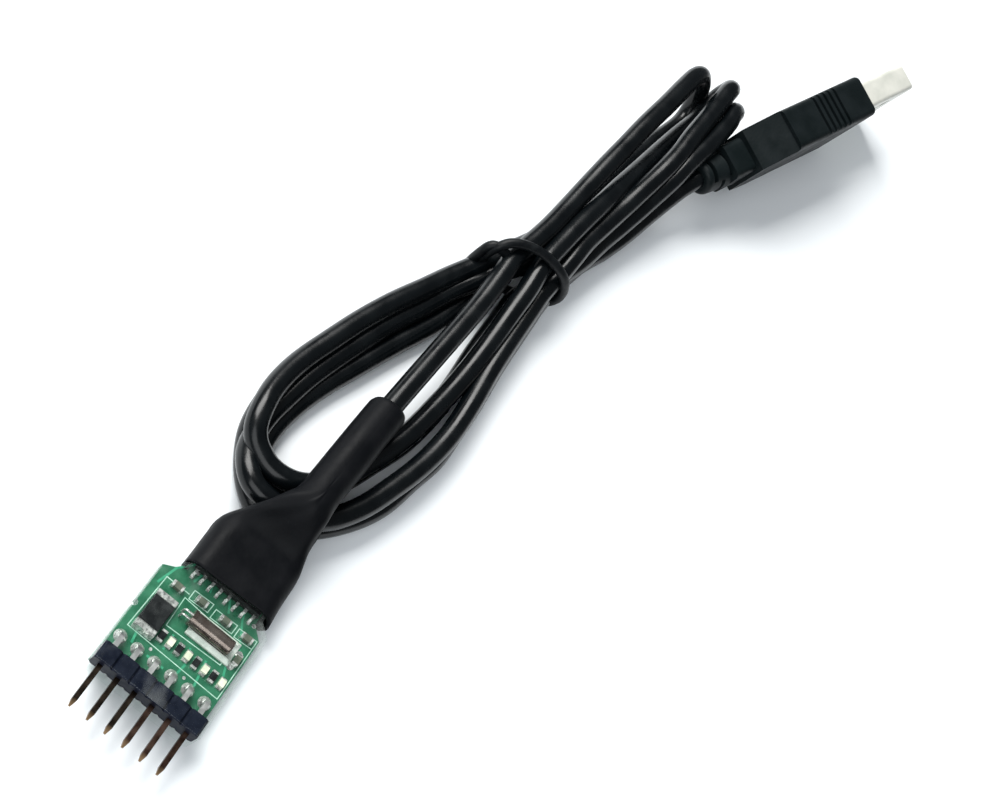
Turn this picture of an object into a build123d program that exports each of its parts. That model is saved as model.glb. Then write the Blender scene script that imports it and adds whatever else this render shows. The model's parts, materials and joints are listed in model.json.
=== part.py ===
from build123d import *
import os
from math import atan2, cos, degrees, radians, sin, tan

os.makedirs("parts", exist_ok=True)

# A serial adapter on a small circuit board: a right-angle pin header at one end, a black shrink
# sleeve at the other, and a lead folded into a tied hank that ends in a plug.
# Millimetres. +X runs from the header pins towards the lead, +Z is up, the board lies level.
# The origin is under the middle of the module, which is the object without its lead and plug.

# Header
pin_count = 6
pin_pitch = 2.54
pin_side = 0.64
pin_reach = 6.0
pin_point = 0.9
pin_tip_side = 0.26
pin_bend = 0.75
pin_clearance = 0.02
strip_depth = 2.5
strip_height = 2.5
unit_notch = 0.32
tail_setback = 2.35
tail_below_board = 0.75

# Board
film_wall = 0.25
board_thickness = 1.6
board_width = 15.1
strip_overhang = 0.8
board_main_length = 14.5
board_neck_length = 8.9
board_neck_width = 10.6
neck_offset = -0.6
board_corner = 1.5
board_notch_radius = 0.5
board_notch_setback = 6.0
pad_hole = 1.0
solder_pad = 1.75
solder_height = 0.55

# Converter chip
chip_length = 9.9
chip_width = 3.9
chip_height = 1.45
chip_standoff = 0.15
chip_span = 6.0
chip_setback = 5.05
chip_band = 0.3
chip_draft = 0.18
lead_count = 8
lead_pitch = 1.27
lead_width = 0.41
lead_thickness = 0.2
lead_foot = 0.6
lead_knee = 0.45

# Crystal can and its glue
can_diameter = 2.06
can_length = 6.2
can_gap = 0.1
can_setback = 12.4
can_rim = 0.25
can_lead_diameter = 0.3
can_lead_spacing = 0.7
can_lead_reach = 1.1
glue_width = 3.3
glue_height = 0.75

# Small parts on the board
shunt_length = 5.4
shunt_width = 2.9
shunt_height = 1.1
shunt_cap_length = 0.85
shunt_cap_height = 0.85
chip_part_length = 1.6
chip_part_width = 0.8
chip_part_cap = 0.32
led_height = 0.6
resistor_height = 0.45
capacitor_height = 0.75
capacitor_setback = 9.7
row_pitch = 2.6
row_setback = 16.2

# Sleeves
film_clearance = 0.05
film_corner = 0.4
sleeve_wall = 0.6
sleeve_corner = 0.9
sleeve_fit = 0.05
sleeve_reach = 2.65

# Lead
cord_diameter = 3.1
cord_height = 8.3
jacket_start = 10.4
wire_diameter = 0.5
wire_spread = 0.62
wire_count = 4
wire_pad_pitch = 2.1
wire_solder_clearance = 0.3
wire_solder_shift = 0.35
wire_solder_diameter = 1.4
wire_solder_height = 0.5

# Hank and its tie
strand_layer = 3.1
layer_height = 5.6
waist_width = 12.5
waist_height = 8.5
waist_corner = 3.6
tie_diameter = 1.4
tie_clearance = 0.12
tie_slant = 20.0
tie_x = 62.0
bundle_y = -7.7

# Plug
plug_rear = (104.0, -23.9)
plug_yaw = -22.7
plug_lean = 3.5
plug_length = 30.6
plug_height = 15.0
plug_width = 7.0
plug_edge = 1.0
plug_step = 9.8
plug_step_depth = 0.7
plug_tail = 3.0
plug_tail_height = 8.4
collar_height = 6.6
collar_width = 5.8
groove_count = 5
groove_pitch = 1.35
groove_width = 0.65
groove_depth = 0.45
groove_start = 17.6
relief_length = 6.7
relief_diameter = 6.2
relief_taper = 0.5
relief_slot = 0.8
relief_slot_depth = 1.2
relief_slot_pitch = 1.7
shell_reach = 12.9
shell_height = 12.0
shell_width = 4.5
shell_wall = 0.3
shell_corner = 0.7
shell_socket = 2.0
shell_window = (2.2, 2.5)
shell_window_setback = 5.4
shell_window_pitch = 6.0
tongue_thickness = 1.84
tongue_recess = 3.0
tongue_base = 2.5
tongue_clearance = 0.05
contact_width = 1.0
contact_thickness = 0.15
contact_pitch = 2.25
contact_short = 0.8

# Places that follow from the sizes
strip_x = -21.6
strip_rear_x = strip_x + strip_depth
tail_x = strip_rear_x + tail_setback
board_x = strip_x + strip_overhang
neck_x = board_x + board_main_length
board_end_x = neck_x + board_neck_length
board_z = film_wall + tail_below_board
top_z = board_z + board_thickness
pin_z = top_z + strip_height / 2
chip_x = board_end_x - chip_setback
wire_solder_x = chip_x + chip_span / 2 + wire_solder_clearance + wire_solder_diameter / 2
can_x = board_end_x - can_setback
row_x = board_end_x - row_setback
sleeve_x = neck_x + board_corner + 0.2
plug_z = (plug_height * cos(radians(plug_lean)) + plug_width * sin(radians(plug_lean))) / 2


def emit(shape, name):
    """Writes one node."""
    export_step(shape, f"parts/{name}.step")


def box_at(x, y, z, length, width, height):
    """A box standing on height z, centred on x and y."""
    return Pos(x, y, z + height / 2) * Box(length, width, height)


def column(index, count, pitch):
    """The place of one of a row of equal things about the middle."""
    return (index - (count - 1) / 2) * pitch


def path_radii(points):
    """The largest arc that each corner of a route leaves room for."""
    radii = []
    for before, corner, after in zip(points, points[1:], points[2:]):
        run_in, run_out = Vector(*corner) - Vector(*before), Vector(*after) - Vector(*corner)
        half_turn = radians(run_in.get_angle(run_out)) / 2
        radii.append(0.45 * min(run_in.length, run_out.length) / tan(half_turn))
    return radii


def tube(points, diameter):
    """A round tube along straight runs joined by arcs."""
    line = FilletPolyline(*points, radius=path_radii(points))
    return sweep(Plane(line @ 0, z_dir=line % 0) * Circle(diameter / 2), path=line)


def section(x, y_low, y_high, z_low, z_high, radius, inset=0.0):
    """A rounded rectangle across the X axis, given by its sides."""
    width = y_high - y_low - 2 * inset
    height = z_high - z_low - 2 * inset
    corner = min(radius - max(inset, 0.0), width / 2 - 0.02, height / 2 - 0.02)
    middle = Plane(origin=(x, (y_low + y_high) / 2, (z_low + z_high) / 2), x_dir=(0, 1, 0), z_dir=(1, 0, 0))
    return middle * RectangleRounded(width, height, corner)


def pin_y(index):
    """The place of one header pin across the board."""
    return column(pin_count - 1 - index, pin_count, pin_pitch)


def header_strip():
    """Six moulded units in a row, with break notches between them."""
    width = pin_count * pin_pitch
    body = box_at(strip_x + strip_depth / 2, 0, top_z, strip_depth, width, strip_height)
    notch = Rot(45, 0, 0) * Box(strip_depth * 2, unit_notch * 1.5, unit_notch * 1.5)
    for index in range(pin_count + 1):
        for z in (top_z, top_z + strip_height):
            body -= Pos(strip_x + strip_depth / 2, column(index, pin_count + 1, pin_pitch), z) * notch
    hole = pin_side + 2 * pin_clearance
    for index in range(pin_count):
        body -= Pos(strip_x + strip_depth / 2, pin_y(index), pin_z) * Box(strip_depth * 2, hole, hole)
    return body


def header_pin(index):
    """A square pin with a pointed end, bent down into the board."""
    y = pin_y(index)
    shoulder_x = strip_x - pin_reach + pin_point
    foot = (tail_x, y, board_z - tail_below_board)
    line = FilletPolyline((shoulder_x, y, pin_z), (tail_x, y, pin_z), foot, radius=pin_bend)
    start = Plane(origin=(shoulder_x, y, pin_z), x_dir=(0, 1, 0), z_dir=(1, 0, 0))
    bar = sweep(start * Rectangle(pin_side, pin_side), path=line)
    tip = Plane(origin=(shoulder_x - pin_point, y, pin_z), x_dir=(0, 1, 0), z_dir=(1, 0, 0))
    point = loft([tip * Rectangle(pin_tip_side, pin_tip_side), start * Rectangle(pin_side, pin_side)])
    return bar + point


def header_solder():
    """Solder cones round each tail, above and below the board."""
    joints = []
    hole = pin_side + 2 * pin_clearance
    for index in range(pin_count):
        tail = Pos(tail_x, pin_y(index), top_z) * Box(hole, hole, 4 * board_thickness)
        cone = Pos(0, 0, solder_height / 2) * Cone(solder_pad / 2, pin_side * 0.75, solder_height)
        joints.append(Pos(tail_x, pin_y(index), top_z) * cone - tail)
        joints.append(Pos(tail_x, pin_y(index), board_z) * Rot(180, 0, 0) * cone - tail)
    return Compound(joints)


def circuit_board():
    """The board, with its narrower tongue under the sleeve and six drilled holes."""
    half, neck_low = board_width / 2, neck_offset - board_neck_width / 2
    neck_high = neck_low + board_neck_width
    outline = [
        (board_x, -half), (neck_x, -half), (neck_x + board_corner, neck_low),
        (board_end_x, neck_low), (board_end_x, neck_high),
        (neck_x + board_corner, neck_high), (neck_x, half), (board_x, half),
    ]
    plate = Pos(0, 0, board_z) * extrude(make_face(Polyline(*outline, close=True)), board_thickness)
    for index in range(pin_count):
        plate -= Pos(tail_x, pin_y(index), top_z) * Cylinder(pad_hole / 2, board_thickness * 3)
    notch = Cylinder(board_notch_radius, board_thickness * 3)
    return plate - Pos(neck_x - board_notch_setback, half, top_z) * notch


def chip_body():
    """The moulded body of the converter chip, drafted away from the band its leads leave."""
    middle = Pos(chip_x, neck_offset, top_z + chip_standoff + chip_height / 2)
    body = middle * Box(chip_width, chip_length, chip_band)
    for way in (1, -1):
        broad = middle * Pos(0, 0, way * chip_band / 2) * Rectangle(chip_width, chip_length)
        narrow = middle * Pos(0, 0, way * chip_height / 2) * Rectangle(chip_width - 2 * chip_draft,
                                                                     chip_length - 2 * chip_draft)
        body += loft([broad, narrow])
    dimple = Pos(-chip_width / 4, chip_length / 2 - 1.2, chip_height / 2) * Sphere(0.4)
    return body - middle * dimple


def chip_leads():
    """Gull-wing leads along both long sides."""
    knee_z = top_z + chip_standoff + chip_height / 2
    outer, inner = chip_span / 2, chip_width / 2
    half, skew = lead_thickness / 2, lead_thickness / 4
    line = [(inner, knee_z - top_z), (inner + lead_knee, knee_z - top_z),
            (outer - lead_foot, half), (outer, half)]
    shifts = [0, skew, skew, 0]
    upper = [(x + shift, z + half) for (x, z), shift in zip(line, shifts)]
    lower = [(x - shift, z - half) for (x, z), shift in zip(line, shifts)]
    run = Polyline(*upper, *reversed(lower), close=True)
    profile = Plane(origin=(0, 0, top_z), x_dir=(1, 0, 0), z_dir=(0, -1, 0)) * make_face(run)
    lead = extrude(profile, lead_width / 2, both=True)
    leads = []
    for index in range(lead_count):
        y = neck_offset + column(index, lead_count, lead_pitch)
        leads.append(Pos(chip_x, y, 0) * lead)
        leads.append(Pos(chip_x, y, 0) * Rot(0, 0, 180) * lead)
    return Compound(leads)


can_z = top_z + can_gap + can_diameter / 2
can_high_y = 1.15


def crystal_can():
    """A drawn metal can lying on the board, with a wider rim at its lead end."""
    rim = 0.5
    lying = Pos(can_x, can_high_y, can_z) * Rot(90, 0, 0)
    can = lying * Pos(0, 0, can_length / 2) * Cylinder(can_diameter / 2, can_length)
    far_edge = can.edges().sort_by(Axis.Y)[0]
    can = fillet(far_edge, can_rim)
    flange = lying * Pos(0, 0, rim / 2) * Cylinder(can_diameter / 2 + 0.07, rim)
    return can + flange


def crystal_leads():
    """Two wires from the can, bent down to their pads."""
    wires = []
    for way in (-1, 1):
        x = can_x + way * can_lead_spacing / 2
        end_y = can_high_y + can_lead_reach
        points = [(x, can_high_y, can_z), (x, end_y, can_z), (x, end_y, top_z)]
        line = FilletPolyline(*points, radius=0.4)
        wires.append(sweep(Plane(line @ 0, z_dir=line % 0) * Circle(can_lead_diameter / 2), path=line))
    return Compound(wires)


def crystal_glue():
    """A bead of glue that the can is bedded in."""
    length = can_length + 0.3
    bead = box_at(can_x, can_high_y - length / 2 - 0.6, top_z, glue_width, length, glue_height)
    bead = chamfer(bead.edges().group_by(Axis.Z)[-1], glue_height * 0.55)
    return bead - Pos(can_x, can_high_y - can_length / 2, can_z) * Rot(90, 0, 0) * Cylinder(
        can_diameter / 2 + 0.08, can_length * 2)


shunt_x, shunt_y = neck_x - 5.7, 4.7


def shunt_body():
    """The moulded block of the large current-sense resistor."""
    core = box_at(shunt_x, shunt_y, top_z, shunt_length - 2 * shunt_cap_length, shunt_width, shunt_height)
    return chamfer(core.edges().group_by(Axis.Z)[-1], 0.12)


def shunt_caps():
    """Its two tinned ends, each sloping down to the board."""
    caps = []
    for way in (-1, 1):
        inner = shunt_length / 2 - shunt_cap_length
        outer = shunt_length / 2
        outline = [(inner, 0), (outer + 0.3, 0), (outer, shunt_cap_height), (inner, shunt_cap_height)]
        side = Plane.XZ * make_face(Polyline(*outline, close=True))
        cap = extrude(side, shunt_width / 2, both=True)
        turn = 0 if way > 0 else 180
        caps.append(Pos(shunt_x, shunt_y, top_z) * Rot(0, 0, turn) * cap)
    return Compound(caps)


def chip_part(x, y, turn, height):
    """A two-ended chip part: its body and its two tinned ends."""
    place = Pos(x, y, top_z) * Rot(0, 0, turn)
    core = chip_part_length - 2 * chip_part_cap
    body = place * box_at(0, 0, 0, core, chip_part_width, height)
    caps = []
    for way in (-1, 1):
        middle = way * (chip_part_length - chip_part_cap) / 2
        cap = place * box_at(middle, 0, 0, chip_part_cap, chip_part_width, height * 0.9)
        caps.append(cap)
    return body, caps


def led(x, y):
    """A lamp: a flat base between its ends and a clear block on top."""
    body, caps = chip_part(x, y, 0, led_height * 0.45)
    core = chip_part_length - 2 * chip_part_cap
    lens = box_at(x, y, top_z + led_height * 0.45, core, chip_part_width, led_height * 0.55)
    return body + lens, caps


def film_rows():
    """Hollow sections of the film: place along the board, two sides, underside and top."""
    half, low = pin_count * pin_pitch / 2, board_z - film_clearance
    neck_low, neck_high = neck_offset - board_neck_width / 2, neck_offset + board_neck_width / 2
    chip_top = top_z + chip_standoff + chip_height
    can_top = can_z + can_diameter / 2 + 0.07
    return [
        (strip_x + 0.1, -half, half, film_wall, top_z + strip_height),
        (strip_rear_x + 0.1, -half, half, film_wall, top_z + strip_height),
        (tail_x + solder_pad, -half, half, film_wall, can_top),
        (can_x + can_diameter / 2, -half, half, film_wall * 2, can_top),
        (neck_x + 0.05, -half, half, low, chip_top + 0.2),
        (neck_x + board_corner + 0.1, neck_low, neck_high, low, chip_top),
        (chip_x - 1.0, neck_low, neck_high, low, chip_top),
    ]


def clear_film():
    """Clear shrink film round the board and the header."""
    outer, inner = [], []
    for x, y_low, y_high, z_low, z_high in film_rows():
        sides = (y_low - film_clearance, y_high + film_clearance, z_low, z_high + film_clearance)
        inner.append(section(x, *sides, film_corner - film_wall))
        outer.append(section(x, *sides, film_corner, -film_wall))
    return loft(outer, ruled=True) - loft(inner, ruled=True)


sleeve_end_x = -(strip_x - pin_reach)
bore_start = (jacket_start, -2.0, cord_height)
bore_end = (sleeve_end_x, -2.95, cord_height)
bore_way = (Vector(*bore_end) - Vector(*bore_start)).normalized()


def sleeve_rows():
    """Outer sections of the sleeve: place, two sides, underside, top and corner."""
    low, high = neck_offset - board_neck_width / 2, neck_offset + board_neck_width / 2
    side = film_clearance + film_wall + sleeve_wall + 0.02
    rows = [
        (sleeve_x, low - side - 0.5, high + side, 0.0, top_z + 3.3, sleeve_corner),
        (sleeve_x + 2.6, low - side - 0.2, high + side, 0.0, top_z + 3.1, sleeve_corner),
        (board_end_x + 0.4, low - side - 0.2, high + side, 0.0, top_z + 3.0, sleeve_corner),
        (board_end_x + 1.6, low - 0.5, high - 0.1, 0.9, top_z + 3.7, 1.4),
        (board_end_x + 2.8, low + 0.1, high - 1.0, 2.3, top_z + 4.8, 1.8),
        (board_end_x + 4.4, low + 0.6, high - 2.1, 4.2, top_z + 6.6, 2.2),
        (board_end_x + 6.0, low + 1.0, high - 2.9, 5.3, top_z + 7.9, 2.6),
    ]
    for x in (board_end_x + 7.6, board_end_x + 10.0, sleeve_end_x):
        y = bore_start[1] + (x - bore_start[0]) * bore_way.Y / bore_way.X
        low, high = cord_height - sleeve_reach, cord_height + sleeve_reach
        rows.append((x, y - sleeve_reach, y + sleeve_reach, low, high, sleeve_reach))
    return rows


def black_sleeve():
    """The black shrink sleeve, wide over the chip and narrow over the lead."""
    rows = sleeve_rows()
    bore_wall = sleeve_reach - cord_diameter / 2 - sleeve_fit
    walls = [sleeve_wall] * (len(rows) - 3) + [bore_wall] * 3
    outer = [section(*row) for row in rows]
    inner = [section(*row, wall) for row, wall in zip(rows, walls)]
    inner[0], inner[-1] = Pos(-0.5, 0, 0) * inner[0], Pos(0.5, 0, 0) * inner[-1]
    return loft(outer, ruled=True) - loft(inner, ruled=True)


def wire_routes():
    """Each inner wire, from the end face of the jacket down to its pad on the board."""
    routes = []
    across = Vector(-bore_way.Y, bore_way.X, 0)
    for index, turn in enumerate((135, 225, 315, 45)):
        start = Vector(*bore_start) + across * (wire_spread * cos(radians(turn)))
        start += Vector(0, 0, wire_spread * sin(radians(turn)))
        straight = start - bore_way * 1.9
        pad_y = neck_offset + column(index, wire_count, wire_pad_pitch)
        pad = Vector(wire_solder_x + wire_solder_shift, pad_y, top_z + wire_diameter / 2)
        knee = pad + Vector(2.2, (start.Y - pad_y) * 0.2, 0.5)
        routes.append([tuple(point) for point in (start, straight, knee, pad)])
    return routes


def cord_route_in():
    """The lead from inside the sleeve to the tie."""
    return [bore_start, bore_end, (43.5, -3.7, cord_height + 0.15), (58.0, -4.5, cord_height + 0.05)]


def cord_route_out():
    """The lead from the tied bundle to the plug's strain relief."""
    way = Vector(cos(radians(plug_yaw)), sin(radians(plug_yaw)), 0)
    end = Vector(*plug_rear, plug_z) - way * relief_length
    return [(66.5, -12.6, 4.4), (77.5, -15.2, 4.2), tuple(end - way * 7.0), tuple(end)]


def flat_layer(points, z, height):
    """One layer of the flat loop: a leaf shape with the open middle taken out."""
    gap = [(46.0, -4.0), (33.5, 1.4), (21.5, 5.2), (15.6, 5.0), (13.2, 2.0), (15.5, -2.4), (22.0, -5.6),
           (34.0, -6.4)]
    edge = Wire([Spline(*points), Line(points[-1], points[0])])
    hole = Wire([Spline(*gap, periodic=True)])
    return Pos(0, 0, z) * extrude(make_face(edge) - make_face(hole), height)


def hank():
    """The outer shape of the folded lead: a flat loop, a tied waist and a loop on edge."""
    wide = [(57.5, 0.2), (44.0, 6.1), (32.0, 9.9), (21.5, 11.4), (14.6, 10.2), (9.2, 6.6), (6.4, 1.0),
            (9.4, -6.6), (18.0, -12.3), (29.0, -14.3), (44.0, -14.4), (57.5, -14.4)]
    narrow = [(57.5, -0.6), (44.0, 5.3), (32.0, 9.1), (21.5, 10.6), (14.6, 9.4), (10.2, 7.0), (9.2, 4.4),
              (10.8, 1.6), (11.6, -3.6), (18.0, -10.0), (29.0, -12.6), (44.0, -13.0), (57.5, -13.6)]
    flat = flat_layer(wide, 0.0, strand_layer) + flat_layer(narrow, strand_layer, layer_height - strand_layer)
    half, low = waist_width / 2, tie_diameter + tie_clearance
    high = low + waist_height
    rows = [
        (46.0, -14.2, 3.4, 0.0, layer_height, 2.0),
        (54.0, bundle_y - half - 0.3, bundle_y + half + 0.8, 0.9, high - 0.6, 3.0),
        (tie_x - 3.4, bundle_y - half, bundle_y + half, low, high, waist_corner),
        (tie_x + 3.4, bundle_y - half, bundle_y + half, low, high, waist_corner),
        (72.0, -15.8, -4.0, 1.2, high + 0.2, 3.2),
        (80.0, -16.0, -5.7, 0.4, 11.4, 3.2),
        (88.0, -15.9, -6.6, 0.0, 12.7, 3.4),
        (96.0, -16.9, -7.5, 0.0, 13.5, 3.6),
        (100.0, -17.9, -8.1, 0.0, 13.6, 3.6),
        (105.0, -19.4, -9.0, 0.0, 13.6, 3.6),
        (111.0, -20.8, -11.4, 0.6, 13.2, 3.6),
        (115.2, -20.4, -13.4, 3.0, 11.6, 3.4),
    ]
    return flat + loft([section(*row) for row in rows], ruled=True)


def hank_tie():
    """A round elastic ring about the waist, a little askew."""
    grow = tie_diameter / 2 + tie_clearance
    slant = radians(tie_slant)
    width = waist_width / cos(slant) + 2 * grow
    height = waist_height + 2 * grow
    middle = (tie_x, bundle_y, tie_diameter + tie_clearance + waist_height / 2)
    across = Plane(origin=middle, x_dir=(-sin(slant), cos(slant), 0), z_dir=(cos(slant), sin(slant), 0))
    ring = across * RectangleRounded(width, height, waist_corner - 0.6 + grow)
    path = ring.faces()[0].outer_wire()
    start = Plane(path @ 0, z_dir=path % 0)
    return sweep(start * Circle(tie_diameter / 2), path=path)


def plug_place():
    """The plug's own frame: its rear at the origin, X towards its mouth, leaning a little."""
    return Pos(plug_rear[0], plug_rear[1], plug_z) * Rot(0, 0, plug_yaw) * Rot(plug_lean, 0, 0)


def plug_body():
    """The moulded grip on its narrow side, with its tapered rear, collar and slotted strain relief."""
    block = Pos((plug_tail + plug_length) / 2, 0, 0) * Box(plug_length - plug_tail, plug_width, plug_height)
    block = fillet(block.edges().filter_by(Axis.X), plug_edge)
    block = fillet(block.edges().group_by(Axis.X)[-1], plug_edge * 0.9)
    rear, shoulder = plug_tail_height / 2, plug_height / 2 - plug_step_depth
    outline = [(0, plug_height), (0, rear), (plug_tail, rear), (plug_step, shoulder),
               (plug_step, plug_height)]
    slope = extrude(Plane.XZ * make_face(Polyline(*outline, close=True)), plug_width, both=True)
    for turn in (0, 180):
        block -= Rot(turn, 0, 0) * slope
        for index in range(groove_count):
            x = groove_start + index * groove_pitch
            groove = Pos(x, 0, plug_height / 2) * Box(groove_width, plug_width * 2, groove_depth * 2)
            block -= Rot(turn, 0, 0) * groove
    collar = Pos(plug_tail / 2, 0, 0) * Box(plug_tail * 2, collar_width, collar_height)
    collar = fillet(collar.edges().filter_by(Axis.X), plug_edge)
    relief = Pos(-relief_length / 2, 0, 0) * Rot(0, 90, 0) * Cone(
        relief_diameter / 2 - relief_taper, relief_diameter / 2, relief_length)
    relief = fillet(relief.edges().sort_by(Axis.X)[0], 0.8)
    for index in range(3):
        core = Cylinder(relief_diameter / 2 - relief_slot_depth, relief_slot)
        ring = Cylinder(relief_diameter, relief_slot) - core
        span = Box(relief_diameter * 2, relief_diameter * 0.62, relief_slot * 2)
        turn = 90 * (index % 2)
        place = Pos(-relief_slot_pitch * (index + 1), 0, 0) * Rot(0, 90, 0) * Rot(0, 0, turn)
        relief -= place * (ring & span)
    socket = Pos(plug_length - shell_socket / 2, 0, 0) * Box(shell_socket, shell_width, shell_height)
    socket = fillet(socket.edges().filter_by(Axis.X), shell_corner)
    return plug_place() * (block + collar + relief - socket)


def plug_shell():
    """The folded steel shell, open at its mouth, with two windows in each broad side."""
    length = shell_reach + shell_socket
    middle = plug_length - shell_socket + length / 2
    outer = Pos(middle, 0, 0) * Box(length, shell_width, shell_height)
    outer = fillet(outer.edges().filter_by(Axis.X), shell_corner)
    inner = Pos(middle, 0, 0) * Box(length * 2, shell_width - 2 * shell_wall, shell_height - 2 * shell_wall)
    inner = fillet(inner.edges().filter_by(Axis.X), shell_corner - shell_wall)
    shell = outer - inner
    window_x = plug_length + shell_reach - shell_window_setback
    for index in range(2):
        z = column(index, 2, shell_window_pitch)
        shell -= Pos(window_x, 0, z) * Box(shell_window[0], shell_width * 2, shell_window[1])
    return plug_place() * shell


def tongue_y():
    """The contact face of the tongue, across the plug."""
    return shell_width / 2 - shell_wall - tongue_clearance - tongue_thickness


def plug_tongue():
    """The plastic tongue against one broad side of the shell, and the block that carries it."""
    height = shell_height - 2 * shell_wall - 2 * tongue_clearance
    rear = plug_length - shell_socket
    reach = shell_socket + shell_reach - tongue_recess
    middle_y = tongue_y() + tongue_thickness / 2
    tongue = Pos(rear + reach / 2, middle_y, 0) * Box(reach, tongue_thickness, height)
    tongue = fillet(tongue.edges().filter_by(Axis.X).group_by(Axis.Y)[-1], shell_corner - shell_wall)
    base_length, base_width = shell_socket + tongue_base, shell_width - 2 * shell_wall - 2 * tongue_clearance
    base = Pos(rear + base_length / 2, 0, 0) * Box(base_length, base_width, height)
    base = fillet(base.edges().filter_by(Axis.X), shell_corner - shell_wall)
    return plug_place() * (tongue + base)


def plug_contact(index):
    """One gilded strip on the tongue; the outer two reach further forward."""
    outer = index in (0, 3)
    rear = plug_length + tongue_base
    front = plug_length + shell_reach - tongue_recess - (contact_short if outer else 2 * contact_short)
    z = column(index, 4, contact_pitch)
    y = tongue_y() - contact_thickness / 2
    return plug_place() * Pos((rear + front) / 2, y, z) * Box(front - rear, contact_thickness, contact_width)


emit(circuit_board(), "circuit_board")
emit(header_strip(), "header_strip")
for index in range(pin_count):
    emit(header_pin(index), f"header_pin_{index + 1}")
emit(header_solder(), "header_solder")
emit(chip_body(), "converter_chip")
emit(chip_leads(), "chip_leads")
emit(crystal_can(), "crystal_can")
emit(crystal_leads(), "crystal_leads")
emit(crystal_glue(), "crystal_glue")
emit(shunt_body(), "shunt_resistor")
emit(shunt_caps(), "shunt_ends")

ends = []
for index in range(4):
    body, caps = led(row_x, 1.2 - index * row_pitch)
    emit(body, f"led_{index + 1}")
    ends += caps
emit(Compound(ends), "led_ends")

ends = []
for index in range(4):
    body, caps = chip_part(row_x, 2.5 - index * row_pitch, 0, resistor_height)
    emit(body, f"resistor_{index + 1}")
    ends += caps
emit(Compound(ends), "resistor_ends")

ends = []
capacitor_x = board_end_x - capacitor_setback
capacitor_places = [(capacitor_x, 1.05, 90), (capacitor_x, -2.6, 90), (capacitor_x, -6.0, 90),
                    (capacitor_x - 0.4, 4.5, 90), (can_x - 0.3, -6.5, 0)]
for index, (x, y, turn) in enumerate(capacitor_places):
    body, caps = chip_part(x, y, turn, capacitor_height)
    emit(body, f"capacitor_{index + 1}")
    ends += caps
emit(Compound(ends), "capacitor_ends")

emit(clear_film(), "clear_film")
emit(black_sleeve(), "black_sleeve")

blobs = []
for index, route in enumerate(wire_routes()):
    wire = tube(route, wire_diameter)
    emit(wire, f"wire_{index + 1}")
    blob = Pos(wire_solder_x, route[-1][1], top_z + wire_solder_height / 2)
    blobs.append(blob * Cylinder(wire_solder_diameter / 2, wire_solder_height) - wire)
emit(Compound(blobs), "wire_solder")

bundle = hank()
emit(bundle, "cable_hank")
emit(hank_tie(), "hank_tie")
for name, route in (("cable_in", cord_route_in()), ("cable_out", cord_route_out())):
    whole = tube(route, cord_diameter)
    free = (whole - bundle).solids().sort_by(SortBy.VOLUME)[-1]
    emit(free, name)
    print(name, "radii", [round(radius, 1) for radius in path_radii(route)], "volume", round(whole.volume, 1))

emit(plug_body(), "plug_body")
emit(plug_shell(), "plug_shell")
emit(plug_tongue(), "plug_tongue")
for index in range(4):
    emit(plug_contact(index), f"plug_contact_{index + 1}")
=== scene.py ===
import json
import math

import bpy
from mathutils import Matrix, Vector


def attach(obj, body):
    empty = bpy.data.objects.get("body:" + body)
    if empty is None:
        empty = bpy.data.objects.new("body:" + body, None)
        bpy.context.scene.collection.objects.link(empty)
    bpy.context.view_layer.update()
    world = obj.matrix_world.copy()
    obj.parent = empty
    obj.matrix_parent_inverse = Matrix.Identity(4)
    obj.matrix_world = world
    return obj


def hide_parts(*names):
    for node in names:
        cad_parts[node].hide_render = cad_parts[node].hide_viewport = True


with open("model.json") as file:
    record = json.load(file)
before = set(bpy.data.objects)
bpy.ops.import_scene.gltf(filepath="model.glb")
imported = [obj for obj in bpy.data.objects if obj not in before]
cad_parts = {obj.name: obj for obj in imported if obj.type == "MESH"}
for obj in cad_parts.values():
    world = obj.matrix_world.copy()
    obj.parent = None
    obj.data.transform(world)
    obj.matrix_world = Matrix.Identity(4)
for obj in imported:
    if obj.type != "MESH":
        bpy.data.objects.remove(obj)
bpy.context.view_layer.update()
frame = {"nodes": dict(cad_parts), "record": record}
MM = 0.001


# Materials

def shader(name):
    """A new node material: the material, its nodes, its links and its surface shader."""
    mat = bpy.data.materials.new(name)
    mat.use_nodes = True
    tree = mat.node_tree
    return mat, tree.nodes, tree.links, tree.nodes["Principled BSDF"]


def noise(nodes, links, scale, detail=4.0):
    """Noise in the object's own coordinates, so that it doesn't move with the camera."""
    place = nodes.new("ShaderNodeTexCoord")
    tex = nodes.new("ShaderNodeTexNoise")
    tex.inputs["Scale"].default_value = scale
    tex.inputs["Detail"].default_value = detail
    links.new(place.outputs["Object"], tex.inputs["Vector"])
    return tex.outputs["Fac"]


def ramp(nodes, links, value, low, high, start=0.35, end=0.65):
    """A colour or grey that runs from low to high with the value."""
    step = nodes.new("ShaderNodeValToRGB")
    step.color_ramp.elements[0].position = start
    step.color_ramp.elements[1].position = end
    step.color_ramp.elements[0].color = low
    step.color_ramp.elements[1].color = high
    links.new(value, step.inputs["Fac"])
    return step.outputs["Color"]


def grey(value):
    return (value, value, value, 1)


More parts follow.
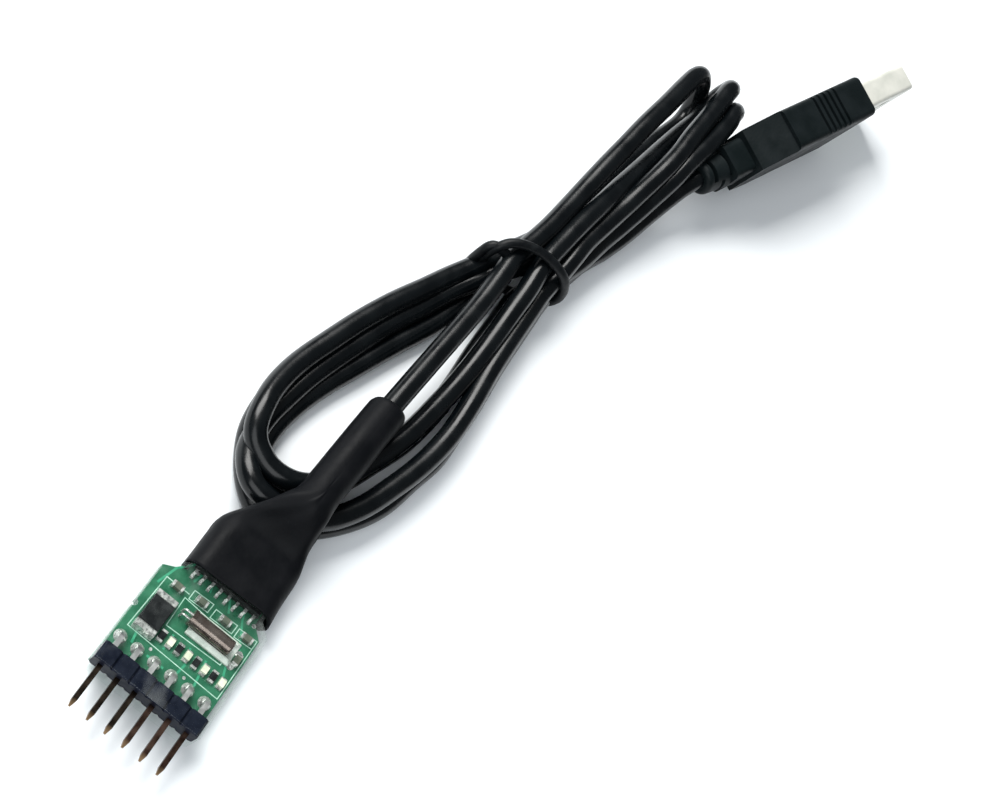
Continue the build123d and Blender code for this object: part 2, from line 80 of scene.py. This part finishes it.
def surface(name, low, high, rough, metallic=0.0, scale=900, bump=0.05, coat=0.0, fine=4000,
            spread=0.08, shine=0.5):
    """A surface with uneven colour, uneven gloss and a fine grain.

    Scale sets how small the patches are, fine how small the grain, spread how far the gloss varies.
    """
    mat, nodes, links, bsdf = shader(name)
    broad = noise(nodes, links, scale)
    links.new(ramp(nodes, links, broad, (*low, 1), (*high, 1)), bsdf.inputs["Base Color"])
    gloss = ramp(nodes, links, broad, grey(rough - spread), grey(rough + spread))
    links.new(gloss, bsdf.inputs["Roughness"])
    bsdf.inputs["Metallic"].default_value = metallic
    bsdf.inputs["Specular IOR Level"].default_value = shine
    bsdf.inputs["Coat Weight"].default_value = coat
    bsdf.inputs["Coat Roughness"].default_value = 0.12
    grain = nodes.new("ShaderNodeBump")
    grain.inputs["Strength"].default_value = bump
    grain.inputs["Distance"].default_value = 0.0001
    links.new(noise(nodes, links, fine, 2.0), grain.inputs["Height"])
    links.new(grain.outputs["Normal"], bsdf.inputs["Normal"])
    return mat


def pin_material(name, low, high):
    """A tarnished pin, brassy at its free end and tinned where it is soldered."""
    mat = surface(name, low, high, 0.42, 1.0, scale=700)
    nodes, links = mat.node_tree.nodes, mat.node_tree.links
    bsdf = nodes["Principled BSDF"]
    body = bsdf.inputs["Base Color"].links[0].from_socket
    place = nodes.new("ShaderNodeTexCoord")
    parts = nodes.new("ShaderNodeSeparateXYZ")
    links.new(place.outputs["Generated"], parts.inputs["Vector"])
    brassy_tip = (grey(1.0), grey(0.0), 0.02, 0.1, (0.3, 0.2, 0.11, 1))
    tinned_end = (grey(0.0), grey(1.0), 0.72, 0.78, grey(0.6))
    for before, after, start, end, color in (brassy_tip, tinned_end):
        share = ramp(nodes, links, parts.outputs["X"], before, after, start, end)
        mix = nodes.new("ShaderNodeMix")
        mix.data_type = "RGBA"
        links.new(share, mix.inputs["Factor"])
        links.new(body, mix.inputs["A"])
        mix.inputs["B"].default_value = color
        body = mix.outputs["Result"]
    links.new(body, bsdf.inputs["Base Color"])
    return mat


def film_material():
    """Thin clear shrink film: see-through, painted sheen at its edges, a few faint clouds."""
    mat, nodes, links, bsdf = shader("film")
    bsdf.inputs["Base Color"].default_value = (0.9, 0.95, 0.93, 1)
    bsdf.inputs["Roughness"].default_value = 0.16
    clear = nodes.new("ShaderNodeBsdfTransparent")
    clear.inputs["Color"].default_value = (0.985, 0.995, 0.99, 1)
    # Painted sheen: the more edge-on the film is seen, the more of its whitish lit layer shows
    edge = nodes.new("ShaderNodeLayerWeight")
    edge.inputs["Blend"].default_value = 0.12
    rim = nodes.new("ShaderNodeMath")
    rim.operation = "POWER"
    rim.inputs[1].default_value = 2.0
    links.new(edge.outputs["Facing"], rim.inputs[0])
    cloud = ramp(nodes, links, noise(nodes, links, 260, 5.0), grey(0.0), grey(0.04), 0.55, 0.8)
    total = nodes.new("ShaderNodeMath")
    total.operation = "MULTIPLY_ADD"
    total.inputs[1].default_value = 1.1
    links.new(rim.outputs["Value"], total.inputs[0])
    links.new(cloud, total.inputs[2])
    mix = nodes.new("ShaderNodeMixShader")
    links.new(total.outputs["Value"], mix.inputs["Fac"])
    links.new(clear.outputs["BSDF"], mix.inputs[1])
    links.new(bsdf.outputs["BSDF"], mix.inputs[2])
    links.new(mix.outputs["Shader"], nodes["Material Output"].inputs["Surface"])
    wrinkle = nodes.new("ShaderNodeBump")
    wrinkle.inputs["Strength"].default_value = 0.35
    wrinkle.inputs["Distance"].default_value = 0.0003
    links.new(noise(nodes, links, 420, 3.0), wrinkle.inputs["Height"])
    links.new(wrinkle.outputs["Normal"], bsdf.inputs["Normal"])
    return mat


MATS = {
    "board": surface("board", (0.012, 0.095, 0.048), (0.02, 0.145, 0.075), 0.34, scale=500,
                     bump=0.08, coat=0.2),
    "strip": surface("strip", (0.003, 0.005, 0.012), (0.006, 0.009, 0.019), 0.42, bump=0.04,
                     shine=0.15),
    "pins": pin_material("pins", (0.014, 0.01, 0.008), (0.04, 0.03, 0.022)),
    "solder": surface("solder", (0.36, 0.38, 0.36), (0.8, 0.8, 0.78), 0.3, 0.7, scale=2200,
                      bump=0.3, fine=2600),
    "chip": surface("chip", (0.008, 0.008, 0.009), (0.014, 0.014, 0.015), 0.5, bump=0.2, shine=0.3),
    "can": surface("can", (0.15, 0.115, 0.1), (0.24, 0.2, 0.18), 0.22, 0.8, scale=320),
    "glue": surface("glue", (0.5, 0.56, 0.5), (0.68, 0.72, 0.67), 0.25, bump=0.15, coat=0.4),
    "resistor": surface("resistor", (0.006, 0.007, 0.008), (0.012, 0.014, 0.015), 0.36, bump=0.1,
                        shine=0.3),
    "led": surface("led", (0.52, 0.55, 0.42), (0.7, 0.72, 0.58), 0.25, coat=0.4),
    "capacitor": surface("capacitor", (0.06, 0.075, 0.055), (0.11, 0.12, 0.09), 0.4, bump=0.1),
    "sleeve": surface("sleeve", (0.0026, 0.0031, 0.004), (0.0045, 0.005, 0.0062), 0.5, scale=260,
                      bump=0.25, fine=1500, shine=0.08),
    "wire": surface("wire", (0.3, 0.03, 0.02), (0.4, 0.05, 0.03), 0.4),
    "cable": surface("cable", (0.0012, 0.002, 0.0026), (0.0024, 0.0036, 0.0044), 0.25, scale=320,
                     bump=0.08, fine=1800, spread=0.05, shine=0.3),
    "elastic": surface("elastic", (0.0015, 0.0022, 0.003), (0.003, 0.0045, 0.0055), 0.45, bump=0.3,
                       fine=2500, shine=0.2),
    "plug": surface("plug", (0.0035, 0.006, 0.0065), (0.0055, 0.0085, 0.0095), 0.45, scale=300,
                    bump=0.3, fine=2200, shine=0.13),
    "shell": surface("shell", (0.6, 0.61, 0.55), (0.68, 0.68, 0.62), 0.4, 0.3, scale=400),
    "tongue": surface("tongue", (0.6, 0.6, 0.58), (0.72, 0.72, 0.7), 0.4),
    "contact": surface("contact", (0.7, 0.5, 0.16), (0.85, 0.64, 0.25), 0.25, 1.0),
    "film": film_material(),
}
COPPER_PINS = pin_material("pins_copper", (0.035, 0.019, 0.014), (0.09, 0.055, 0.042))
SILK = surface("silk", (0.26, 0.46, 0.36), (0.42, 0.62, 0.52), 0.5)
TRACE = surface("trace", (0.03, 0.24, 0.13), (0.045, 0.3, 0.17), 0.34, coat=0.2)

BROWN_PINS = ("header_pin_4", "header_pin_5", "header_pin_6")
slots = {entry["node"]: entry["material_slot"] for entry in frame["record"]["subparts"]}
for node, obj in frame["nodes"].items():
    obj.data.materials.clear()
    obj.data.materials.append(COPPER_PINS if node in BROWN_PINS else MATS[slots[node]])


def placed(name, data):
    """A new object in the scene."""
    obj = bpy.data.objects.new(name, data)
    bpy.context.scene.collection.objects.link(obj)
    return obj


def cubic(a, leave, b, arrive, t):
    """The curve from a to b with those slopes at its ends, at the share t of its way."""
    return (a * (2 * t ** 3 - 3 * t ** 2 + 1) + leave * (t ** 3 - 2 * t ** 2 + t)
            + b * (3 * t ** 2 - 2 * t ** 3) + arrive * (t ** 3 - t ** 2))


# The lead: the route of its centreline in millimetres, from the sleeve to the plug. OUT runs
# towards the plug, BEND turns at the far tip, BACK returns, LOOP rounds the near end of the hank,
# and FLAT turns on the table under the hank.

CORD_RADIUS = 1.55
ROUTE_STEP = 0.0012  # in metres
ENTRY = [(10.4, -2, 8.3), (19, -2.45, 8.3), (27.6, -2.95, 8.3), (38.2, -3.8, 8.3),
         (44.2, -4.3, 8.3), (51.1, -4.8, 8.3), (57.1, -4.9, 8.5), (61, -4.9, 8.6)]
OUT_1 = [(63.8, -5.5, 8.7), (68.7, -6.4, 9), (73.9, -7, 9.3), (79.3, -7.5, 9.8), (84.5, -8, 10.5),
         (89.8, -8.6, 11.1), (95.4, -9.2, 11.7), (100.8, -10, 12), (105.5, -10.6, 12)]
BEND_1 = [(109.9, -11.3, 11.9), (111.2, -11.8, 11.6), (112.1, -12.4, 10.6), (112.7, -13.2, 9.2),
          (112.8, -14, 7.5), (112.4, -14.7, 5.8), (111.6, -15.2, 4.4), (110.4, -15.4, 3.4),
          (109.1, -15.3, 3.1)]
BACK_1 = [(106.2, -14.6, 2.8), (103.4, -13.8, 2.7), (97.9, -12.7, 2.9), (91.7, -11.3, 3.4),
          (85.3, -10.1, 4.2), (79.1, -9, 5), (74.2, -8, 5.5), (69.3, -6.8, 5.7)]
LOOP_1 = [(63.5, -4.4, 5.8), (59.9, -2.7, 5.4), (57.1, -1.3, 5), (53.3, 0.5, 4.7), (49.4, 2.1, 4.7),
          (43.8, 4.5, 4.7), (37.8, 6.6, 4.7), (31.8, 8.3, 4.7), (28.5, 9.2, 4.7), (24.9, 9.9, 4.9),
          (20.9, 10.2, 5.4), (17.6, 9.9, 5.8), (15.1, 9.2, 5.6), (13.7, 8, 5), (12.8, 6.4, 4.7),
          (12.1, 4.4, 4.6), (12.4, 1.6, 4.6), (13.9, -0.9, 4.5), (16.8, -3.2, 4.4),
          (20.9, -4.9, 4.4), (25.3, -6.5, 4.4), (29.8, -7.7, 4.4), (35.7, -8.6, 4.5),
          (41.4, -9.2, 4.9), (46.3, -9.4, 5.6), (50.6, -9.4, 6.3), (54.9, -9.3, 7.1),
          (58.8, -9.2, 8), (61.9, -8.9, 8.5)]
OUT_2 = [(64.4, -8.9, 8.8), (68.1, -9.3, 9), (73.1, -9.9, 9.3), (78.5, -10.8, 9.3),
         (84.6, -11.8, 8.7), (90.9, -13, 8), (96.4, -14, 7.3), (102.6, -15.2, 6.8),
         (109.4, -16.6, 6.7)]
BEND_2 = [(113, -16.7, 6.9), (114.2, -17, 7.2), (115.1, -17.2, 8), (115.3, -17.4, 9.2),
          (115, -17.4, 10.3), (114.1, -17.3, 11.2), (113, -17.1, 11.5)]
BACK_2 = [(108.5, -16.8, 11.6), (103.8, -16.5, 11.5), (99.7, -16.2, 11.3), (96.1, -16.1, 11),
          (93, -15.8, 10.6), (89.6, -15.3, 9.9), (85.5, -14.6, 9.2), (81.3, -13.9, 8.4),
          (76.9, -13.1, 8), (72.9, -12.4, 7.7), (70, -12.2, 7.6), (66.2, -12, 7)]
LOOP_2 = [(62.2, -11.6, 5.9), (57.9, -11.6, 5.6), (46.4, -11.8, 5), (39.8, -12.3, 4.7),
          (34, -12.4, 4.5), (29.3, -11.9, 4.4), (25.1, -11, 4.4), (21.4, -9.9, 4.4),
          (17.7, -8.7, 4.4), (14.7, -7.3, 4.4), (12.1, -5.6, 4.4), (10.1, -3.4, 4.4),
          (8.9, -0.6, 4.4), (8.6, 3, 4.4), (9.1, 5.2, 4.4), (10.7, 6.8, 4.1), (12.9, 7.9, 3.4),
          (15.6, 8.3, 3), (18.7, 8.4, 3), (22.1, 8, 3), (26.5, 7.3, 3), (31.4, 6.1, 3),
          (36.7, 4.6, 3), (42.3, 2.9, 3), (47.5, 0.8, 3.1), (52.8, -1.2, 3.6), (57, -3.4, 4.4),
          (60.8, -5.4, 5.2)]
OUT_3 = [(66.3, -8.7, 5.7), (73, -10.6, 5.3), (80.9, -12.7, 4.7), (88.1, -14.3, 4.3),
         (96.1, -15.7, 3.9), (102.4, -16.9, 3.5), (107, -18.4, 3.4)]
BEND_3 = [(110.9, -20.6, 3.8), (112.2, -20.8, 4.3), (113.2, -20.9, 5.5), (113.5, -20.7, 7.2),
          (113.2, -20.5, 8.9), (112.3, -20.1, 10.1), (111.1, -19.8, 10.6)]
BACK_3 = [(108.8, -20, 10.8), (105.8, -19.7, 10.9), (101.4, -19.1, 10.8), (96.4, -18.2, 10.3),
          (92.7, -17.8, 9.4), (88.7, -17.1, 8.2), (84.8, -16.4, 7.1), (80.7, -15.6, 6.1),
          (76.6, -14.7, 5.5), (72.9, -14.1, 5.1), (70.4, -13.5, 4.9), (66.2, -12.1, 4.4),
          (62.9, -10.7, 3.4)]
LOOP_3 = [(60.5, -9.6, 2.7), (54.8, -9.4, 2.2), (48.6, -9.3, 1.9), (41.9, -9.5, 1.6),
          (36, -9.2, 1.6), (29.8, -8.2, 1.6), (24, -6.3, 1.55), (19.6, -4.7, 1.55),
          (16.2, -3, 1.55), (13.5, -1.3, 1.55), (12.5, 1.5, 1.55), (12.3, 3.9, 1.55),
          (13.3, 5.5, 1.55), (15.3, 6.5, 1.55), (18.3, 6.8, 1.55), (22.4, 6.4, 1.55),
          (27.5, 5.2, 1.55), (34.6, 2.8, 1.55), (41.6, 0.3, 1.55), (47.9, -2.1, 1.6),
          (53.6, -3.6, 1.8), (59.1, -4.7, 2.6), (64.5, -6.4, 3.2)]
FLAT_4 = [(69.5, -9.7, 2.8), (76, -12, 2.1), (80.5, -12.9, 1.6), (83.2, -13, 1.6),
          (84.9, -12.4, 1.6), (85.6, -11.1, 1.6), (84.9, -9.8, 1.6), (83.2, -9.2, 1.6),
          (80.5, -9, 1.8), (76.5, -8.6, 2.2), (70.2, -6.9, 2.8)]
LOOP_4 = [(63, -3.4, 3.1), (59.1, -1.9, 2.4), (54.8, 0, 1.8), (50.1, 1.9, 1.6), (44.9, 4.1, 1.55),
          (38.6, 6.2, 1.55), (32.3, 8, 1.55), (27.4, 9.1, 1.55), (22.9, 9.6, 1.55),
          (19.1, 9.5, 1.55), (16, 8.9, 1.55), (13.2, 7.6, 1.6), (10.9, 6, 1.6), (9, 3.9, 1.6),
          (8, 1.4, 1.55), (8.8, -2, 1.55), (11.5, -5.3, 1.55), (14.5, -7.7, 1.55),
          (17.3, -9.4, 1.55), (20.6, -10.8, 1.55), (26.2, -12, 1.55), (30.7, -13, 1.6),
          (35.9, -13.1, 1.6), (41.9, -13.1, 1.6), (49, -12.7, 1.8), (57.6, -12.6, 2.1),
          (62.6, -12.5, 2.7)]
EXIT = [(67.2, -13.2, 2.3), (74, -14.6, 1.9), (78.3, -16.2, 2.2), (83.2, -17.6, 3.2),
        (88.8, -18.8, 4.2), (92.8, -19.7, 5.3), (95.5, -20.4, 6.8), (97.8, -21.3, 7.7),
        (99, -21.8, 7.7)]


def eased(points, step):
    """The route resampled at an even step along a smooth curve through its points."""
    places = [Vector(point) * MM for point in points]
    places = [places[0] * 2 - places[1]] + places + [places[-1] * 2 - places[-2]]
    out = [places[1]]
    for before, a, b, after in zip(places, places[1:], places[2:], places[3:]):
        gap = [max((q - p).length, 1e-7) ** 0.5 for p, q in ((before, a), (a, b), (b, after))]
        here = (b - a) / gap[1]
        leave = ((a - before) / gap[0] - (b - before) / (gap[0] + gap[1]) + here) * gap[1]
        arrive = (here - (after - a) / (gap[1] + gap[2]) + (after - b) / gap[2]) * gap[1]
        count = max(1, round((b - a).length / step))
        out += [cubic(a, leave, b, arrive, index / count) for index in range(1, count + 1)]
    return out


def add_spline(data, points, cyclic=False):
    """One smooth line through the curve's points, open or closed."""
    spline = data.splines.new("NURBS")
    spline.points.add(len(points) - 1)
    for place, point in zip(spline.points, points):
        place.co = (*point, 1)
    spline.use_cyclic_u = cyclic
    spline.use_endpoint_u = not cyclic
    spline.order_u = 3


def curve(name, points, radius, material, cyclic=False):
    """A round strand along one smooth line."""
    data = bpy.data.curves.new(name, "CURVE")
    data.dimensions = "3D"
    data.resolution_u = 2
    data.bevel_depth = radius
    data.bevel_resolution = 6
    data.use_fill_caps = True
    add_spline(data, points, cyclic)
    data.materials.append(material)
    return placed(name, data)


route = (ENTRY + OUT_1 + BEND_1 + BACK_1 + LOOP_1 + OUT_2 + BEND_2 + BACK_2 + LOOP_2
         + OUT_3 + BEND_3 + BACK_3 + LOOP_3 + FLAT_4 + LOOP_4 + EXIT)
centreline = eased(route, ROUTE_STEP)
lead = curve("lead", centreline, CORD_RADIUS * MM, MATS["cable"])
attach(lead, "root")
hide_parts("cable_in", "cable_hank", "cable_out")


# The elastic tie: one ring round the hank and a slack turn beside it

ELASTIC_RADIUS = 0.72
TIE = [(59.3, -2.0, 2.8), (58.7, -1.5, 5.2), (58.7, -1.5, 8.2), (59.4, -2.0, 9.9),
       (60.7, -2.9, 10.8), (62.1, -5.0, 11.1), (63.0, -7.6, 11.0), (63.4, -10.1, 10.4),
       (63.9, -12.3, 9.1), (64.4, -13.8, 6.8), (64.6, -14.5, 4.2), (64.3, -13.9, 2.1),
       (63.4, -11.8, 0.9), (61.9, -8.1, 0.9), (60.7, -4.7, 0.9), (59.8, -2.6, 1.4)]
SLACK = [(59.9, -2.2, 1.5), (58.4, -0.8, 3.6), (58.0, -0.6, 6.0), (58.3, -0.7, 7.8),
         (58.9, -0.9, 9.0), (59.4, -1.4, 9.5), (59.6, -2.3, 9.6), (60.1, -3.7, 9.0)]
tie = curve("tie", [Vector(point) * MM for point in TIE], ELASTIC_RADIUS * MM, MATS["elastic"],
            cyclic=True)
tie.data.resolution_u = 8
add_spline(tie.data, [Vector(point) * MM for point in SLACK])
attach(tie, "root")
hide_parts("hank_tie")

plug_nodes = ["plug_body", "plug_shell", "plug_tongue"]
plug_nodes += [f"plug_contact_{index}" for index in range(1, 5)]


# The black sleeve as one smooth skin: place, two sides, underside, top and corner of each section,
# in millimetres, from the mouth over the board to the end of the neck

SKIN = [(-4.6, -7.3, 5.62, 0.0, 5.7, 2.2), (-2.0, -7.1, 5.6, 0.0, 5.75, 2.3),
        (0.6, -7.02, 5.6, 0.0, 5.6, 2.3), (3.0, -6.9, 5.5, 0.1, 5.6, 2.3),
        (4.2, -6.4, 4.9, 0.9, 6.2, 2.2), (5.4, -5.8, 3.9, 2.3, 7.3, 2.0),
        (7.0, -5.3, 2.6, 4.2, 9.1, 2.3), (8.6, -4.95, 1.6, 5.3, 10.5, 2.6),
        (10.4, -4.7, 0.7, 5.65, 10.95, 2.65), (14.0, -4.85, 0.45, 5.65, 10.95, 2.65),
        (18.0, -5.1, 0.25, 5.65, 10.95, 2.65), (22.8, -5.3, 0.0, 5.65, 10.95, 2.65),
        (27.6, -5.6, -0.3, 5.65, 10.95, 2.65)]
SECTIONS = 80                               # along the sleeve
STEPS = 8                                   # along each corner and each side of a section
FLAT_LEFT = 0.2                             # half of what a rounded corner leaves flat at least
LEAST_CORNER = 0.3
MOUTH_WALL, NECK_WALL = 0.45, 1.0
WALL_FROM, WALL_OVER = 6, 5                 # where the wall starts to thicken, and over what length
FOLD_DEPTH, FOLD_AT, FOLD_REACH = 0.09, 6.5, 4.5
EDGE_DROP, EDGE_OVER = 0.15, 0.4            # the rounded end of the neck
MOUTH_BAND = -3.4                           # the wavy edge of the mouth starts here


def ring(x, y_low, y_high, z_low, z_high, corner, inset):
    """One closed section of the skin, moved inward by the inset."""
    limit = min((y_high - y_low) / 2 - FLAT_LEFT, (z_high - z_low) / 2 - FLAT_LEFT)
    corner = max(min(corner, limit) - inset, LEAST_CORNER)
    left, right = y_low + inset + corner, y_high - inset - corner
    low, high = z_low + inset + corner, z_high - inset - corner
    centres = [(right, high), (left, high), (left, low), (right, low)]
    points = []
    for side, (y, z) in enumerate(centres):
        y_next, z_next = centres[(side + 1) % 4]
        for step in range(STEPS + 1):
            angle = math.pi / 2 * (side + step / STEPS)
            points.append(Vector((x, y + corner * math.cos(angle), z + corner * math.sin(angle))))
        angle = math.pi / 2 * (side + 1)
        rim = Vector((0, corner * math.cos(angle), corner * math.sin(angle)))
        for step in range(1, STEPS):
            points.append(Vector((x, y, z)).lerp(Vector((x, y_next, z_next)), step / STEPS) + rim)
    return points


def between(rows, x):
    """The section at x along a smooth curve through the rows."""
    index = max(i for i in range(len(rows) - 1) if rows[i][0] <= x + 1e-9)
    before, a = rows[max(index - 1, 0)], rows[index]
    b, after = rows[index + 1], rows[min(index + 2, len(rows) - 1)]
    span = b[0] - a[0]
    out = []
    for field in range(1, len(a)):
        leave = (b[field] - before[field]) / max(b[0] - before[0], 1e-6) * span
        arrive = (after[field] - a[field]) / max(after[0] - a[0], 1e-6) * span
        out.append(cubic(a[field], leave, b[field], arrive, (x - a[0]) / span))
    return out


def sleeve_skin():
    """A thin closed tube through the sections, with soft folds over the shoulder."""
    mouth, neck = SKIN[0][0], SKIN[-1][0]
    outer, inner = [], []
    for station in range(SECTIONS + 1):
        x = mouth + (neck - mouth) * station / SECTIONS
        fields = between(SKIN, x)
        end = min(1.0, (neck - x) / EDGE_OVER)
        thicker = min(max((x - WALL_FROM) / WALL_OVER, 0), 1)
        wall = MOUTH_WALL + (NECK_WALL - MOUTH_WALL) * thicker
        fold = FOLD_DEPTH * math.exp(-((x - FOLD_AT) / FOLD_REACH) ** 2)
        shape = ring(x, *fields, EDGE_DROP * (1 - end))
        middle = Vector((x, (fields[0] + fields[1]) / 2, (fields[2] + fields[3]) / 2))
        for index, point in enumerate(shape):
            away = (point - middle).normalized()
            # two waves that cross, so that the folds look uneven
            wave = math.sin(index * 0.55 + x * 0.8) + 0.6 * math.sin(index * 1.15 - x * 1.3 + 1)
            shape[index] = point + away * fold * wave
            if x < MOUTH_BAND:
                shape[index].x += 0.18 * math.sin(index * 0.35 + 2) * (MOUTH_BAND - x)
        outer.append(shape)
        inner.append(ring(x, *fields, wall))
        for index, point in enumerate(inner[-1]):
            point.x = shape[index].x
    loops = outer + inner[::-1]
    size = len(loops[0])
    verts = [tuple(point * MM) for loop in loops for point in loop]
    faces = []
    for row in range(len(loops)):
        after = (row + 1) % len(loops)
        for index in range(size):
            beside = (index + 1) % size
            faces.append((row * size + index, after * size + index,
                          after * size + beside, row * size + beside))
    data = bpy.data.meshes.new("sleeve")
    data.from_pydata(verts, [], faces)
    data.shade_smooth()
    data.materials.append(MATS["sleeve"])
    return placed("sleeve", data)


sleeve = sleeve_skin()
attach(sleeve, "root")
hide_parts("black_sleeve")


# Board print: traces and white outlines as thin flat bands and pads as discs, in millimetres

BOARD_TOP = 2.6
BAND_STEP = 0.001  # bands of one layer lie at five heights, so that neighbours share no plane
DISC_CORNERS = 24
WHITE = [[(-15.37, -7.3), (-15.11, 6.49), (-7.22, 6.2), (-7.18, 2.82)],
         [(-6.33, 2.49), (-6.2, -0.35), (-7.53, -0.3), (-7.68, 2.5), (-6.33, 2.49)],
         [(-6.5, -0.95), (-6.39, -4.21), (-7.72, -4.16), (-7.83, -0.9), (-6.5, -0.95)],
         [(-6.53, -4.62), (-6.42, -7.3), (-7.64, -7.3), (-7.85, -4.63), (-6.53, -4.62)],
         [(-7.86, 2.96), (-8.32, -5.36), (-11.77, -5.24), (-12.11, 2.8), (-7.86, 2.96)],
         [(-6.42, -7.3), (-15.37, -7.3)]]
LINES = [[(-3.5, 4.2), (-5.6, 5.9), (-8.4, 6.7)], [(-3.2, 2.6), (-5.4, 3.2)],
         [(-3.2, 1.4), (-5.2, 0.9)], [(-3.2, -1.0), (-5.8, -2.4)],
         [(-3.2, -3.6), (-5.4, -4.3), (-8.8, -6.2)], [(-12.6, 1.4), (-14.6, 1.4)],
         [(-12.6, -1.2), (-14.6, -1.8), (-17.4, -1.4)],
         [(-12.6, -3.6), (-15.8, -4.1), (-17.4, -3.9)], [(-10.9, -5.7), (-13.4, -6.6)],
         [(-16.6, 2.4), (-16.6, 0.2)], [(-9.4, 5.6), (-13.2, 5.5), (-16.4, 4.9)]]
PADS = [(-9.23, -6.42, 0.5), (-11.07, -6.3, 0.5), (-5.1, -5.9, 0.3), (-12.9, 5.3, 0.3),
        (-15.9, -2.6, 0.22), (-15.7, 2.6, 0.22), (-4.4, 3.4, 0.22)]


def band(verts, faces, start, end, width, height):
    """One flat band on the board from start to end."""
    a, b = Vector(start), Vector(end)
    way = (b - a).normalized() * width / 2
    side = Vector((-way.y, way.x))
    first = len(verts)
    for place in (a - way - side, b + way - side, b + way + side, a - way + side):
        verts.append((place.x * MM, place.y * MM, height * MM))
    faces.append((first, first + 1, first + 2, first + 3))


def print_layer(name, lines, discs, width, lift, material):
    """All bands and round pads of one colour as one piece."""
    verts, faces = [], []
    for index, (start, end) in enumerate(pair for line in lines for pair in zip(line, line[1:])):
        band(verts, faces, start, end, width, BOARD_TOP + lift + BAND_STEP * (index % 5))
    for x, y, radius in discs:
        first = len(verts)
        for step in range(DISC_CORNERS):
            angle = math.tau * step / DISC_CORNERS
            verts.append(((x + radius * math.cos(angle)) * MM, (y + radius * math.sin(angle)) * MM,
                          (BOARD_TOP + lift) * MM))
        faces.append(tuple(range(first, first + DISC_CORNERS)))
    data = bpy.data.meshes.new(name)
    data.from_pydata(verts, [], faces)
    data.materials.append(material)
    obj = placed(name, data)
    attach(obj, "root")


print_layer("traces", LINES, [], 0.3, 0.008, TRACE)
print_layer("outlines", WHITE, [], 0.12, 0.016, SILK)
print_layer("pads", [], PADS, 0, 0.024, MATS["solder"])


# Floor, light and camera

def table_material():
    """A plain pale table that keeps the shadow and runs out to white."""
    mat, nodes, links, bsdf = shader("table")
    patches = noise(nodes, links, 9, 3.0)
    tint = ramp(nodes, links, patches, (0.79, 0.825, 0.85, 1), (0.83, 0.86, 0.88, 1))
    links.new(tint, bsdf.inputs["Base Color"])
    bsdf.inputs["Roughness"].default_value = 0.55
    return mat


bpy.ops.mesh.primitive_plane_add(size=3.0, location=(0.05, 0, 0))
floor = bpy.context.object
floor.name = "floor"
floor.data.materials.append(table_material())

# The room: soft white light, dimmer where a gloss mirrors it, so that blacks stay black

world = bpy.data.worlds.new("room")
bpy.context.scene.world = world
world.use_nodes = True
nodes, links = world.node_tree.nodes, world.node_tree.links
back = nodes["Background"]
back.inputs["Color"].default_value = (0.93, 0.96, 1.0, 1)
back.inputs["Strength"].default_value = 0.36
dim = nodes.new("ShaderNodeBackground")
dim.inputs["Color"].default_value = (0.9, 0.95, 1.0, 1)
dim.inputs["Strength"].default_value = 0.14
ray = nodes.new("ShaderNodeLightPath")
choice = nodes.new("ShaderNodeMixShader")
links.new(ray.outputs["Is Glossy Ray"], choice.inputs["Fac"])
links.new(back.outputs["Background"], choice.inputs[1])
links.new(dim.outputs["Background"], choice.inputs[2])
links.new(choice.outputs["Shader"], nodes["World Output"].inputs["Surface"])


def area(name, place, aim, size, power, color):
    """A soft rectangular light."""
    data = bpy.data.lights.new(name, "AREA")
    data.shape = "RECTANGLE"
    data.size, data.size_y = size
    data.energy = power
    data.color = color
    obj = placed(name, data)
    obj.location = place
    obj.rotation_euler = (Vector(aim) - Vector(place)).to_track_quat("-Z", "Y").to_euler()


area("key", (0.20, 0.32, 0.42), (0.05, 0, 0), (0.42, 0.32), 5.6, (1.0, 0.99, 0.97))
area("fill", (-0.35, 0.05, 0.40), (0.04, 0, 0), (0.5, 0.4), 1.7, (0.95, 0.98, 1.0))

# The camera, fitted to the photograph: its place and its own three directions

eye = bpy.data.cameras.new("camera")
eye.lens = 64.8
eye.sensor_width = 36.0
eye.clip_start = 0.01
camera = placed("camera", eye)
right = Vector((0.4485359, -0.7393619, 0.5021549))
up = Vector((0.6771393, 0.6478245, 0.3490068))
backward = Vector((-0.5833506, 0.1834868, 0.7912235))
turn = Matrix((right, up, backward)).transposed().to_4x4()
camera.matrix_world = Matrix.Translation((-0.1005, 0.0299, 0.2000)) @ turn
bpy.context.scene.camera = camera
bpy.context.scene.view_settings.view_transform = "Standard"
